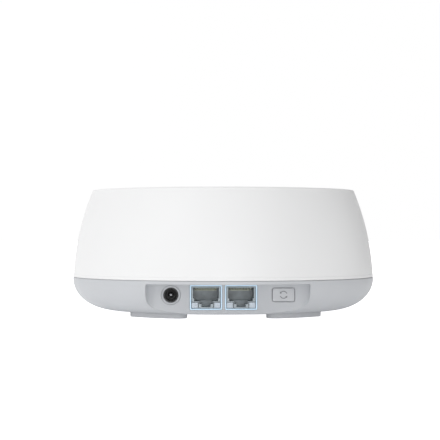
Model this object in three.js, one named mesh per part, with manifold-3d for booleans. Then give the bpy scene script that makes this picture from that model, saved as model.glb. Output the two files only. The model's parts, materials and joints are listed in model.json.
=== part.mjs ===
// A round table-top wireless router: white shell, grey base with a recessed port panel, and its works.
// Millimetres, +Z up. The origin is on the floor under the centre of the case; the ports face -Y.
import * as THREE from "three";
import { mergeVertices } from "three/addons/utils/BufferGeometryUtils.js";
import Module from "manifold-3d";

const wasm = await Module();
wasm.setup();

// ---- Driving sizes ------------------------------------------------------------------------------

const CLEARANCE = 0.3; // between pieces that meet
const OVERSHOOT = 1; // how far a cutting tool reaches past the face it opens
const BITE = 0.1; // overlap of two forms joined into one piece
const ROUND_STEPS = 60; // facets around the case
const SMALL_STEPS = 16; // facets around posts and pins
const HOLE_STEPS = 24; // facets around the power jack
const SCREW_STEPS = 12;

// Case
const CASE_RADIUS = 74;
const CASE_HEIGHT = 60.3; // floor to the rim of the top
const SEAM_Z = 17.9; // where the shell meets the base
const UNDERSIDE_Z = 2; // underside of the base above the floor

// Shell
const SHELL_WALL = 2.2;
const SHELL_INSET = 0.1; // shell's step in from the base at the seam
const SIDE_DRAFT = 0.045; // lean of the side at the seam
const SIDE_BOW_RADIUS = 123; // bow of the side, seen in profile
const RIM_RADIUS = 1; // rounding of the top edge
const RIM_LAND = 1.6; // flat ring inside the top edge
const DISH_DEPTH = 1.4; // hollow of the top face

// Base
const BASE_WALL = 2.2;
const BASE_TURN = 19.5; // how far in the curved flank reaches
const BASE_RIM_HEIGHT = 0.9; // upright band below the seam
const TONGUE_HEIGHT = 2; // lip of the base inside the shell
const TONGUE_WALL = 1.2;
const TONGUE_GAP = 0.4; // between the lip and the shell's wall
const TONGUE_ROOT = 2.1; // depth of the lip's root below the seam

// Port recess and panel
const PANEL_SETBACK = 17; // panel behind the rearmost point of the case
const RECESS_HALF_WIDTH = 37.2;
const RECESS_FILLET = 5; // between the panel and the recess's side walls
const PANEL_WALL = 2;
const RECESS_LIP = 1.6; // base left above the recess

// Feet
const FOOT_WIDTH = 9;
const FOOT_OVERHANG = 3; // foot past the flat of the underside
const FOOT_MIDDLE_ANGLE = 37.6; // from the rear, degrees
const FOOT_SPAN_ANGLE = 24.4; // between the centres of its round ends, degrees
const FOOT_POCKET = 0.9; // depth of the pocket each foot sits in

// Board
const BOARD_THICKNESS = 1.6;
const BOARD_DROP = 0.6; // underside of the board below the seam
const BOARD_MARGIN = 8; // board edge inside the case radius

// Posts and screws
const POST_DIAMETER = 7;
const POST_JOINT_DROP = 0.8; // where the posts meet the sleeves, below the board
const POST_ANGLE = 45;
const SLEEVE_DIAMETER = 9.6;
const CASE_SCREW = { shank: 2.9, head: 5.6, headHeight: 1.8, length: 20 };
const BOARD_SCREW = { shank: 2.3, head: 5, headHeight: 1.5, length: 9 };
const STANDOFF_DIAMETER = 6.4;
const STANDOFF_RADIUS = 58;
const SEAT_HEIGHT = 4.6; // case screw seat above the underside

// LAN jacks
const JACK_PITCH = 16;
const JACK_MIDDLE_X = -1.8; // centre between the two jacks
const PORT_DROP = 7.3; // port centre below the board
const FRAME_WIDTH = 14.7;
const FRAME_HEIGHT = 11.35;
const FRAME_LINE = 0.6;
const FRAME_DEPTH = 1.6;
const FRAME_CORNER = 0.55;
const FRAME_OPENING = 0.25; // gap all round a port frame
const PROUD = 0.1; // how far frames and button stand out of the panel
const JACK_WIDTH = 14.4;
const JACK_HEIGHT = 11.8;
const JACK_DEPTH = 18.5;
const SOCKET_WIDTH = 11.9;
const SOCKET_HEIGHT = 6.2;
const SHOULDER_WIDTH = 10.9; // socket between its lower shoulders
const SHOULDER_HEIGHT = 1.3;
const SOCKET_ROOF = 0.35;
const SOCKET_DEPTH = 14;
const LATCH_WIDTH = 6.3;
const LATCH_NECK_WIDTH = 4.2; // the latch slot below its step
const LATCH_STEP = 1.3;
const LATCH_DROP = 2.7;
const LATCH_DEPTH = 9;
const SHIELD_SHEET = 0.3;
const LED_WINDOW_WIDTH = 2.8;
const LED_WINDOW_HEIGHT = 2.5;
const LED_WINDOW_DEPTH = 7;
const CONTACT_PITCH = 1.27;
const CONTACT_COUNT = 8;
const CONTACT = { width: 0.5, sheet: 0.4, fall: 1, barDepth: 0.9 };

// Power jack
const POWER_X = -25.8;
const POWER_DROP = 6.2; // its axis below the board
const POWER_HOLE = 7.5;
const POWER_NOSE = 6.5;
const POWER_BORE = 5.6;
const POWER_PIN = 1.9;
const POWER_PIN_SETBACK = 1.8; // tip of the pin inside the mouth
const POWER_COUNTERSINK = 8.8; // bevel of the panel around the jack
const POWER_BORE_DEPTH = 10;
const POWER_BODY = { width: 9.4, height: 11.2, depth: 14 };
const POWER_SPRING = { width: 1.8, sheet: 0.4, gap: 0.2, start: 0.8 };

// Pairing button and its switch
const BUTTON_X = 25.6;
const BUTTON_DROP = 6.15;
const BUTTON_WIDTH = 10.2;
const BUTTON_HEIGHT = 6.2;
const BUTTON_CORNER = 0.9;
const BUTTON_GAP = 0.45;
const BUTTON_FLANGE = 1; // thickness of the flange, and its reach past the cap
const BUTTON_STEM = 4;
const BUTTON_STEM_LENGTH = 3.8;
const PLUNGER_TRAVEL = 0.6;
const PLUNGER_DIAMETER = 3.2;
const PLUNGER_LENGTH = 4;
const SWITCH_BODY = 6;
const SWITCH_BACK = 1;

// Reset switch and pinhole
const RESET_X = 30;
const RESET_Y = -14;
const PINHOLE = 2;
const PINHOLE_TUBE = 5;
const PINHOLE_TUBE_HEIGHT = 7;
const RESET_BODY_HEIGHT = 3.6;
const RESET_PLUNGER_REACH = 1.6; // above and below the mouth of its bore
const RESET_TRAVEL = 0.4;

// Parts on top of the board
const CHIP_SIZE = 16;
const CHIP_HEIGHT = 1.4;
const PAD_HEIGHT = 1;
const SINK_SIZE = 40;
const SINK_BASE = 2.5;
const SINK_FIN_HEIGHT = 14;
const SINK_FIN = 1.4;
const SINK_LEG = 4;
const SINK_LEG_INSET = 3;
const SINK_FINS = 9;
const SINK_Y = 5;
const CAN = { width: 20, depth: 16, height: 3.2, sheet: 0.4, x: 33, y: -8 };
const TRANSFORMER = { width: 13, depth: 8, height: 4.6, y: -25 };
const INDUCTOR = { size: 9, height: 4.8, corner: 1.5, x: -32, y: -25 };
const CAPACITOR = { diameter: 8, height: 12, xs: [-24, -13], y: 33 };

// Antennas
const ANTENNA_RADIUS = 50;
const ANTENNA_WIDTH = 30;
const ANTENNA_SHEET = 0.8;
const ANTENNA_CORNER = 1;
const ANTENNA_HEADROOM = 4; // below the roof
const HOLDER = { width: 33, depth: 5, height: 6.5, slotDepth: 4.5 };
const LEAD_DIAMETER = 1.3;
const LEAD_LIFT = 0.8; // of the leads off the board
const LEAD_TAP = 2; // solder point above the antenna holder

// Status light
const LIGHT_DIAMETER = 2.8;
const LIGHT_RISE = 3.5; // its axis above the board
const LIGHT_COLLAR = { diameter: 3.6, length: 1.2, gap: 0.2 };
const LED = { width: 3, depth: 2, height: 4.6 };

// Underside
const LABEL = { width: 44, depth: 22, sheet: 0.25, y: -3, corner: 2 };
const VENT = { width: 2, length: 20, corner: 0.95, pitch: 7, count: 9, y: 26 };

// ---- Worked-out sizes ---------------------------------------------------------------------------

const ROOF_Z = CASE_HEIGHT - DISH_DEPTH - SHELL_WALL;
const SHELL_BOTTOM = SEAM_Z + CLEARANCE / 2;
const BASE_TOP = SEAM_Z - CLEARANCE / 2;
const BASE_FLAT_RADIUS = CASE_RADIUS - BASE_TURN;
const FLOOR_Z = UNDERSIDE_Z + BASE_WALL;
const PANEL_Y = PANEL_SETBACK - CASE_RADIUS;
const PANEL_BACK = PANEL_Y + PANEL_WALL;
const RECESS_TOP = SEAM_Z - RECESS_LIP;
const TONGUE_RADIUS = CASE_RADIUS - SHELL_INSET - SHELL_WALL - TONGUE_GAP;
const FOOT_RADIUS = BASE_FLAT_RADIUS + FOOT_OVERHANG - FOOT_WIDTH / 2;
const BOARD_Z = SEAM_Z - BOARD_DROP;
const BOARD_TOP = BOARD_Z + BOARD_THICKNESS;
const BOARD_RADIUS = CASE_RADIUS - BOARD_MARGIN;
const BOARD_REAR = PANEL_BACK + 2 * CLEARANCE;
const PORT_Z = BOARD_Z - PORT_DROP;
const JACK_TOP = BOARD_Z - CLEARANCE;
const JACK_FRONT = PANEL_BACK + CLEARANCE;
const POWER_Z = BOARD_Z - POWER_DROP;
const BUTTON_Z = BOARD_Z - BUTTON_DROP;
const POST_JOINT_Z = BOARD_Z - POST_JOINT_DROP;
const SEAT_Z = UNDERSIDE_Z + SEAT_HEIGHT;
const ON_BOARD = BOARD_TOP + CLEARANCE;
const NOSE_WIDTH = FRAME_WIDTH - 2 * FRAME_LINE - 2 * FRAME_OPENING;
const NOSE_HEIGHT = FRAME_HEIGHT - 2 * FRAME_LINE - 2 * FRAME_OPENING;
const NOSE_BOTTOM = PORT_Z - NOSE_HEIGHT / 2;
const NOSE_FRONT = PANEL_Y + CLEARANCE;
const SOCKET_TOP = NOSE_BOTTOM + NOSE_HEIGHT - SOCKET_ROOF;

const radians = THREE.MathUtils.degToRad;

// ---- Materials ----------------------------------------------------------------------------------

function finish(color, roughness, metalness = 0) {
  return new THREE.MeshStandardMaterial({ color, roughness, metalness });
}

const WHITE_SHELL = finish(0xf3f3f4, 0.42);
const GREY_BASE = finish(0xc6c7cb, 0.5);
const GREY_FOOT = finish(0xb4b5b9, 0.85);
const BLACK_PLASTIC = finish(0x0c0c0d, 0.45);
const SLATE_PLASTIC = finish(0x8d979b, 0.4);
const BLUE_TRIM = finish(0xbcd3e6, 0.35);
const LIGHT_WINDOW = finish(0xc3c9cc, 0.3);
const STEEL = finish(0xb9bcc0, 0.35, 1);
const GOLD = finish(0xd6ac55, 0.3, 1);
const SCREW_STEEL = finish(0x8d9095, 0.35, 1);
const BOARD_GREEN = finish(0x1d5a3a, 0.5);
const ALUMINIUM = finish(0xa9acb0, 0.4, 1);
const THERMAL_GREY = finish(0x9aa3ad, 0.9);
const CHIP_BLACK = finish(0x17181a, 0.6);
const HOLDER_NATURAL = finish(0xe2ddd0, 0.6);
const LEAD_GREY = finish(0x3a3c40, 0.5);
const LABEL_SILVER = finish(0xd9dadc, 0.5);

// ---- Solids -------------------------------------------------------------------------------------

// A three.js geometry as a manifold solid.
function solid(geometry) {
  const bare = geometry.clone();
  bare.deleteAttribute("normal");
  bare.deleteAttribute("uv");
  const merged = mergeVertices(bare, 1e-4);
  const corners = merged.index.array;
  const triangles = [];
  for (let i = 0; i < corners.length; i += 3) {
    const [a, b, c] = corners.slice(i, i + 3);
    if (a !== b && b !== c && c !== a) triangles.push(a, b, c);
  }
  const vertProperties = new Float32Array(merged.attributes.position.array);
  const triVerts = new Uint32Array(triangles);
  return new wasm.Manifold(new wasm.Mesh({ numProp: 3, vertProperties, triVerts }));
}

// A profile of [radius, height] points turned about Z, listed anticlockwise.
function revolve(profile, steps = ROUND_STEPS) {
  const points = profile.map(([radius, height]) => new THREE.Vector2(radius, height));
  return solid(new THREE.LatheGeometry(points, steps).rotateX(Math.PI / 2));
}

// A ring about Z.
function ring(inner, outer, low, high, steps = ROUND_STEPS) {
  return revolve([[inner, low], [outer, low], [outer, high], [inner, high], [inner, low]], steps);
}

// A box between two corners.
function block(x, y, z) {
  const geometry = new THREE.BoxGeometry(x[1] - x[0], y[1] - y[0], z[1] - z[0]);
  return solid(geometry.translate((x[0] + x[1]) / 2, (y[0] + y[1]) / 2, (z[0] + z[1]) / 2));
}

// A box centred on x and y, standing on z.
function boxAt(x, y, z, width, depth, height) {
  return block([x - width / 2, x + width / 2], [y - depth / 2, y + depth / 2], [z, z + height]);
}

// An upright rod from low to high.
function rod(diameter, low, high, x = 0, y = 0, steps = SMALL_STEPS) {
  const geometry = new THREE.CylinderGeometry(diameter / 2, diameter / 2, high - low, steps);
  return solid(geometry.rotateX(Math.PI / 2).translate(x, y, (low + high) / 2));
}

// A rod along Y, from one y to another.
function rodAlongY(diameter, y, x, z, steps = SMALL_STEPS) {
  const geometry = new THREE.CylinderGeometry(diameter / 2, diameter / 2, y[1] - y[0], steps);
  return solid(geometry.translate(x, (y[0] + y[1]) / 2, z));
}

// A flat outline drawn in X and Y, raised from low to high.
function slab(outline, low, high) {
  const geometry = new THREE.ExtrudeGeometry(outline, {
    depth: high - low,
    bevelEnabled: false,
    curveSegments: 4,
  });
  return solid(geometry.translate(0, 0, low));
}

// A flat outline drawn in X and Z, reaching from one y to another.
function wallSlab(outline, y) {
  const geometry = new THREE.ExtrudeGeometry(outline, {
    depth: y[1] - y[0],
    bevelEnabled: false,
    curveSegments: 4,
  });
  return solid(geometry.rotateX(Math.PI / 2).translate(0, y[1], 0));
}

// A rectangle with round corners about a centre.
function roundedRectangle(x, y, width, height, corner) {
  const right = x + width / 2 - corner;
  const left = x - width / 2 + corner;
  const top = y + height / 2 - corner;
  const bottom = y - height / 2 + corner;
  const outline = new THREE.Shape();
  outline.absarc(right, bottom, corner, -Math.PI / 2, 0);
  outline.absarc(right, top, corner, 0, Math.PI / 2);
  outline.absarc(left, top, corner, Math.PI / 2, Math.PI);
  outline.absarc(left, bottom, corner, Math.PI, Math.PI * 1.5);
  outline.closePath();
  return outline;
}

function union(...solids) {
  return solids.reduce((sum, next) => sum.add(next));
}

const router = new THREE.Group();

// Adds a solid to the router as one named piece.
function piece(name, shape, material, parent = router) {
  const { vertProperties, triVerts } = shape.getMesh();
  const geometry = new THREE.BufferGeometry();
  geometry.setAttribute("position", new THREE.Float32BufferAttribute(vertProperties, 3));
  geometry.setIndex(new THREE.Uint32BufferAttribute(triVerts, 1));
  geometry.computeVertexNormals();
  const mesh = new THREE.Mesh(geometry, material);
  mesh.name = name;
  parent.add(mesh);
  return mesh;
}

// ---- Case shapes --------------------------------------------------------------------------------

// Outer radius of the shell at a height.
function shellRadius(z) {
  const rise = z - SEAM_Z;
  const bow = SIDE_BOW_RADIUS - Math.sqrt(SIDE_BOW_RADIUS ** 2 - rise ** 2);
  return CASE_RADIUS - SHELL_INSET - SIDE_DRAFT * rise - bow;
}

// Points up the shell's side, moved in by an amount.
function shellSide(inset, low, high, steps) {
  return Array.from({ length: steps + 1 }, (_, i) => {
    const z = low + ((high - low) * i) / steps;
    return [shellRadius(z) - inset, z];
  });
}

// Points up the base's flank: a quarter ellipse, moved in by an amount.
function baseFlank(inset, steps) {
  const reach = BASE_TURN - inset;
  const height = SEAM_Z - BASE_RIM_HEIGHT - UNDERSIDE_Z - inset;
  const top = SEAM_Z - BASE_RIM_HEIGHT;
  return Array.from({ length: steps + 1 }, (_, i) => {
    const turn = (Math.PI / 2) * (i / steps);
    return [BASE_FLAT_RADIUS + reach * Math.sin(turn), top - height * Math.cos(turn)];
  });
}

// Plan of the port recess, grown by a wall.
function recessPlan(wall) {
  const front = PANEL_Y + wall;
  const back = PANEL_Y - 2 * PANEL_SETBACK;
  const side = RECESS_HALF_WIDTH + wall;
  const fillet = RECESS_FILLET + wall;
  const plan = new THREE.Shape();
  plan.moveTo(-side, back);
  plan.lineTo(side, back);
  plan.absarc(side - fillet, front - fillet, fillet, 0, Math.PI / 2);
  plan.absarc(fillet - side, front - fillet, fillet, Math.PI / 2, Math.PI);
  plan.closePath();
  return plan;
}

// The four places reached by mirroring an angle from the rear left and right, and to the front.
function fourPlaces(angle) {
  return [
    { side: "rear_left", turn: -angle },
    { side: "rear_right", turn: angle },
    { side: "front_right", turn: 180 - angle },
    { side: "front_left", turn: 180 + angle },
  ];
}

// A point at a radius and an angle from the rear, in degrees.
function fromRear(radius, turn) {
  return [radius * Math.sin(radians(turn)), -radius * Math.cos(radians(turn))];
}

// Plan of a foot about the rear centre line, grown by a gap.
function footPlan(gap) {
  const half = radians(FOOT_SPAN_ANGLE / 2);
  const rear = -Math.PI / 2;
  const width = FOOT_WIDTH / 2 + gap;
  const outline = new THREE.Shape();
  outline.absarc(0, 0, FOOT_RADIUS + width, rear - half, rear + half);
  const end = [FOOT_RADIUS * Math.cos(rear + half), FOOT_RADIUS * Math.sin(rear + half)];
  outline.absarc(end[0], end[1], width, rear + half, rear + half + Math.PI);
  outline.absarc(0, 0, FOOT_RADIUS - width, rear + half, rear - half, true);
  outline.absarc(-end[0], end[1], width, rear - half + Math.PI, rear - half + 2 * Math.PI);
  outline.closePath();
  return outline;
}

const footPlaces = fourPlaces(FOOT_MIDDLE_ANGLE);
const postPlaces = fourPlaces(POST_ANGLE).map(({ side, turn }) => {
  return { side, at: fromRear(FOOT_RADIUS, turn) };
});
const standoffPlaces = [90, 150, 210, 270].map((turn) => fromRear(STANDOFF_RADIUS, turn));
const jackPlaces = [
  { side: "left", x: JACK_MIDDLE_X - JACK_PITCH / 2 },
  { side: "right", x: JACK_MIDDLE_X + JACK_PITCH / 2 },
];

// ---- Case ---------------------------------------------------------------------------------------

function topShell() {
  const edge = CASE_HEIGHT - RIM_RADIUS;
  const edgeRadius = shellRadius(edge) - RIM_RADIUS;
  const rim = [1, 2].map((step) => {
    const turn = (Math.PI / 2) * (step / 2);
    return [edgeRadius + RIM_RADIUS * Math.cos(turn), edge + RIM_RADIUS * Math.sin(turn)];
  });
  const dishRadius = edgeRadius - RIM_LAND;
  const dish = [0, 0.3, 0.65, 1].map((share) => {
    const drop = (DISH_DEPTH * (1 - Math.cos(Math.PI * share))) / 2;
    return [dishRadius * (1 - share), CASE_HEIGHT - drop];
  });
  const outside = revolve([[0, SHELL_BOTTOM], ...shellSide(0, SHELL_BOTTOM, edge, 7), ...rim, ...dish]);
  const side = shellSide(SHELL_WALL, SHELL_BOTTOM - SHELL_WALL, ROOF_Z, 4);
  const inside = revolve([[0, SHELL_BOTTOM - SHELL_WALL], ...side, [0, ROOF_Z]]);
  let shell = outside.subtract(inside);
  for (const { at } of postPlaces) {
    const screwTop = SEAT_Z + CASE_SCREW.length + CLEARANCE;
    shell = shell.add(rod(POST_DIAMETER, POST_JOINT_Z + CLEARANCE, ROOF_Z + SHELL_WALL / 2, ...at));
    shell = shell.subtract(rod(CASE_SCREW.shank + 2 * CLEARANCE, 0, screwTop, ...at));
  }
  const lightHole = rodAlongY(LIGHT_DIAMETER + 2 * CLEARANCE, [0, CASE_RADIUS], 0, BOARD_TOP + LIGHT_RISE);
  return shell.subtract(lightHole);
}

function baseBowl() {
  const outside = revolve([
    [0, UNDERSIDE_Z],
    ...baseFlank(0, 6),
    [CASE_RADIUS, BASE_TOP],
    [0, BASE_TOP],
  ]);
  const inside = revolve([
    [0, FLOOR_Z],
    ...baseFlank(BASE_WALL, 6),
    [CASE_RADIUS - BASE_WALL, SEAM_Z + TONGUE_HEIGHT],
    [0, SEAM_Z + TONGUE_HEIGHT],
  ]);
  const lining = slab(recessPlan(PANEL_WALL), 0, BASE_TOP);
  const bowl = outside.subtract(inside.subtract(lining));
  const inner = TONGUE_RADIUS - TONGUE_WALL;
  const root = ring(inner, CASE_RADIUS - BASE_WALL / 2, SEAM_Z - TONGUE_ROOT, BASE_TOP);
  const tongue = ring(inner, TONGUE_RADIUS, BASE_TOP - TONGUE_WALL, SEAM_Z + TONGUE_HEIGHT);
  return union(bowl, root, tongue).subtract(slab(recessPlan(0), 0, RECESS_TOP));
}

// Openings in the port panel.
function panelOpenings() {
  const through = [PANEL_Y - OVERSHOOT, PANEL_BACK + OVERSHOOT];
  const ports = jackPlaces.map(({ x }) => {
    const width = FRAME_WIDTH + 2 * FRAME_OPENING;
    const height = FRAME_HEIGHT + 2 * FRAME_OPENING;
    return wallSlab(roundedRectangle(x, PORT_Z, width, height, FRAME_CORNER + FRAME_OPENING), through);
  });
  const bevel = (POWER_COUNTERSINK - POWER_HOLE) / 2;
  const wide = POWER_COUNTERSINK / 2 + bevel;
  const cone = new THREE.CylinderGeometry(POWER_HOLE / 2, wide, 2 * bevel, HOLE_STEPS);
  const countersink = solid(cone.translate(POWER_X, PANEL_Y, POWER_Z));
  const power = rodAlongY(POWER_HOLE, through, POWER_X, POWER_Z, HOLE_STEPS).add(countersink);
  const width = BUTTON_WIDTH + 2 * BUTTON_GAP;
  const height = BUTTON_HEIGHT + 2 * BUTTON_GAP;
  const corner = BUTTON_CORNER + BUTTON_GAP;
  const button = wallSlab(roundedRectangle(BUTTON_X, BUTTON_Z, width, height, corner), through);
  return union(...ports, power, button);
}

function ventSlots() {
  const first = (-VENT.pitch * (VENT.count - 1)) / 2;
  const slots = Array.from({ length: VENT.count }, (_, i) => {
    const plan = roundedRectangle(first + i * VENT.pitch, VENT.y, VENT.width, VENT.length, VENT.corner);
    return slab(plan, 0, FLOOR_Z + OVERSHOOT);
  });
  return union(...slots);
}

function baseHousing() {
  let base = baseBowl().subtract(panelOpenings()).subtract(ventSlots());
  for (const { at } of postPlaces) {
    base = base.add(rod(SLEEVE_DIAMETER, FLOOR_Z - OVERSHOOT, POST_JOINT_Z, ...at));
    base = base.subtract(rod(CASE_SCREW.shank + 2 * CLEARANCE, 0, POST_JOINT_Z + OVERSHOOT, ...at));
    base = base.subtract(rod(CASE_SCREW.head + 2 * CLEARANCE, 0, SEAT_Z, ...at));
  }
  for (const at of standoffPlaces) {
    const boreBottom = BOARD_TOP - BOARD_SCREW.length - CLEARANCE;
    base = base.add(rod(STANDOFF_DIAMETER, FLOOR_Z - OVERSHOOT, BOARD_Z - CLEARANCE, ...at));
    base = base.subtract(rod(BOARD_SCREW.shank + 2 * CLEARANCE, boreBottom, BOARD_Z, ...at));
  }
  for (const { turn } of footPlaces) {
    const pocket = slab(footPlan(CLEARANCE), 0, UNDERSIDE_Z + FOOT_POCKET);
    base = base.subtract(pocket.rotate([0, 0, turn]));
  }
  base = base.add(rod(PINHOLE_TUBE, FLOOR_Z - OVERSHOOT, UNDERSIDE_Z + PINHOLE_TUBE_HEIGHT, RESET_X, RESET_Y));
  base = base.subtract(rod(PINHOLE, 0, UNDERSIDE_Z + PINHOLE_TUBE_HEIGHT + OVERSHOOT, RESET_X, RESET_Y));
  const labelBed = roundedRectangle(0, LABEL.y, LABEL.width + 1, LABEL.depth + 1, LABEL.corner);
  return base.subtract(slab(labelBed, 0, UNDERSIDE_Z + LABEL.sheet + CLEARANCE));
}

// A pan-head screw along Z, head down or up, with its seat at the origin.
function screw({ shank, head, headHeight, length }) {
  const point = shank / 2;
  return revolve([
    [0, -headHeight],
    [head * 0.3, -headHeight],
    [head / 2, -headHeight * 0.4],
    [head / 2, 0],
    [shank / 2, 0],
    [shank / 2, length - point],
    [0, length],
  ], SCREW_STEPS);
}

function addCase() {
  piece("top_shell", topShell(), WHITE_SHELL);
  piece("base_housing", baseHousing(), GREY_BASE);
  const foot = slab(footPlan(0), 0, UNDERSIDE_Z + FOOT_POCKET - CLEARANCE);
  for (const { side, turn } of footPlaces) {
    piece(`foot_${side}`, foot, GREY_FOOT).rotation.z = radians(turn);
  }
  const caseScrew = screw(CASE_SCREW);
  for (const { side, at } of postPlaces) {
    piece(`case_screw_${side}`, caseScrew, SCREW_STEEL).position.set(...at, SEAT_Z - CLEARANCE);
  }
  const label = roundedRectangle(0, LABEL.y, LABEL.width, LABEL.depth, LABEL.corner);
  piece("rating_label", slab(label, UNDERSIDE_Z, UNDERSIDE_Z + LABEL.sheet), LABEL_SILVER);
}

// ---- Board --------------------------------------------------------------------------------------

function addBoard() {
  let board = rod(2 * BOARD_RADIUS, BOARD_Z, BOARD_TOP, 0, 0, ROUND_STEPS);
  board = board.subtract(block([-CASE_RADIUS, CASE_RADIUS], [-CASE_RADIUS, BOARD_REAR], [0, CASE_HEIGHT]));
  for (const { at } of postPlaces) {
    board = board.subtract(rod(POST_DIAMETER + 4 * CLEARANCE, 0, CASE_HEIGHT, ...at));
  }
  for (const at of standoffPlaces) {
    board = board.subtract(rod(BOARD_SCREW.shank + 2 * CLEARANCE, 0, CASE_HEIGHT, ...at));
  }
  piece("main_board", board, BOARD_GREEN);
  const boardScrew = screw(BOARD_SCREW);
  standoffPlaces.forEach(([x, y], i) => {
    const mesh = piece(`board_screw_${i + 1}`, boardScrew, SCREW_STEEL);
    mesh.rotation.x = Math.PI;
    mesh.position.set(x, y, ON_BOARD);
  });
}

// ---- LAN jacks ----------------------------------------------------------------------------------

// One jack about x = 0, hanging from the board, with its mouth towards -Y.
function jackHousing() {
  const middle = JACK_FRONT + JACK_DEPTH / 2;
  const body = boxAt(0, middle, JACK_TOP - JACK_HEIGHT, JACK_WIDTH, JACK_DEPTH, JACK_HEIGHT);
  const noseHeights = [NOSE_BOTTOM, NOSE_BOTTOM + NOSE_HEIGHT];
  const nose = block([-NOSE_WIDTH / 2, NOSE_WIDTH / 2], [NOSE_FRONT, JACK_FRONT + BITE], noseHeights);
  const bottom = SOCKET_TOP - SOCKET_HEIGHT;
  const opening = (width, depth, low, high) =>
    block([-width / 2, width / 2], [NOSE_FRONT - OVERSHOOT, NOSE_FRONT + depth], [low, high]);
  const socket = opening(SOCKET_WIDTH, SOCKET_DEPTH, bottom + SHOULDER_HEIGHT, SOCKET_TOP);
  const waist = opening(SHOULDER_WIDTH, SOCKET_DEPTH, bottom, SOCKET_TOP);
  const latch = opening(LATCH_WIDTH, LATCH_DEPTH, bottom - LATCH_STEP, bottom + BITE);
  const neck = opening(LATCH_NECK_WIDTH, LATCH_DEPTH, bottom - LATCH_DROP, bottom + BITE);
  const windowBed = (side) => {
    const inner = NOSE_WIDTH / 2 - LED_WINDOW_WIDTH - CLEARANCE;
    const outer = NOSE_WIDTH / 2 + CLEARANCE;
    const x = side < 0 ? [-outer, -inner] : [inner, outer];
    const z = [NOSE_BOTTOM - CLEARANCE, NOSE_BOTTOM + LED_WINDOW_HEIGHT + CLEARANCE];
    return block(x, [NOSE_FRONT - OVERSHOOT, NOSE_FRONT + LED_WINDOW_DEPTH + CLEARANCE], z);
  };
  return union(body, nose).subtract(union(socket, waist, latch, neck, windowBed(-1), windowBed(1)));
}

function ledWindow(side) {
  const middle = (side * (NOSE_WIDTH - LED_WINDOW_WIDTH)) / 2;
  const y = NOSE_FRONT + LED_WINDOW_DEPTH / 2;
  return boxAt(middle, y, NOSE_BOTTOM, LED_WINDOW_WIDTH, LED_WINDOW_DEPTH, LED_WINDOW_HEIGHT);
}

// Eight spring contacts, rising forward from one moulded bar.
function contactComb() {
  const front = JACK_FRONT + OVERSHOOT;
  const back = NOSE_FRONT + SOCKET_DEPTH - 3 * CLEARANCE;
  const top = SOCKET_TOP - CLEARANCE;
  const low = top - CONTACT.fall;
  const rows = Array.from({ length: CONTACT_COUNT }, (_, i) => {
    const x = (i - (CONTACT_COUNT - 1) / 2) * CONTACT_PITCH;
    const side = new THREE.Shape([
      new THREE.Vector2(front, top - CONTACT.sheet),
      new THREE.Vector2(back, low - CONTACT.sheet),
      new THREE.Vector2(back, low),
      new THREE.Vector2(front, top),
    ]);
    const geometry = new THREE.ExtrudeGeometry(side, { depth: CONTACT.width, bevelEnabled: false });
    geometry.rotateX(Math.PI / 2).rotateZ(Math.PI / 2);
    return solid(geometry.translate(x - CONTACT.width / 2, 0, 0));
  });
  const width = CONTACT_COUNT * CONTACT_PITCH;
  const barHeights = [low - CONTACT.sheet - BITE, low + BITE];
  const bar = block([-width / 2, width / 2], [back - CONTACT.barDepth, back], barHeights);
  return union(bar, ...rows);
}

// The shield wraps the jack's sides, back and underside.
function jackShield() {
  const gap = CLEARANCE;
  const width = JACK_WIDTH + 2 * gap;
  const bottom = JACK_TOP - JACK_HEIGHT - gap;
  const front = JACK_FRONT;
  const back = JACK_FRONT + JACK_DEPTH + gap;
  const outer = block(
    [-width / 2 - SHIELD_SHEET, width / 2 + SHIELD_SHEET],
    [front, back + SHIELD_SHEET],
    [bottom - SHIELD_SHEET, JACK_TOP],
  );
  const inner = block([-width / 2, width / 2], [front - OVERSHOOT, back], [bottom, JACK_TOP + OVERSHOOT]);
  return outer.subtract(inner);
}

function portFrame() {
  const y = [PANEL_Y - PROUD, PANEL_Y - PROUD + FRAME_DEPTH];
  const outer = wallSlab(roundedRectangle(0, PORT_Z, FRAME_WIDTH, FRAME_HEIGHT, FRAME_CORNER), y);
  const width = FRAME_WIDTH - 2 * FRAME_LINE;
  const height = FRAME_HEIGHT - 2 * FRAME_LINE;
  const through = [PANEL_Y - OVERSHOOT, PANEL_BACK + OVERSHOOT];
  const hole = block([-width / 2, width / 2], through, [PORT_Z - height / 2, PORT_Z + height / 2]);
  return outer.subtract(hole);
}

function addJacks() {
  for (const { side, x } of jackPlaces) {
    const jack = new THREE.Group();
    jack.position.x = x;
    piece(`lan_jack_${side}`, jackHousing(), SLATE_PLASTIC, jack);
    piece(`lan_shield_${side}`, jackShield(), STEEL, jack);
    piece(`lan_contacts_${side}`, contactComb(), GOLD, jack);
    piece(`port_frame_${side}`, portFrame(), BLUE_TRIM, jack);
    piece(`link_light_${side}`, ledWindow(-1), LIGHT_WINDOW, jack);
    piece(`activity_light_${side}`, ledWindow(1), LIGHT_WINDOW, jack);
    router.add(jack);
  }
}

// ---- Power jack ---------------------------------------------------------------------------------

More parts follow.
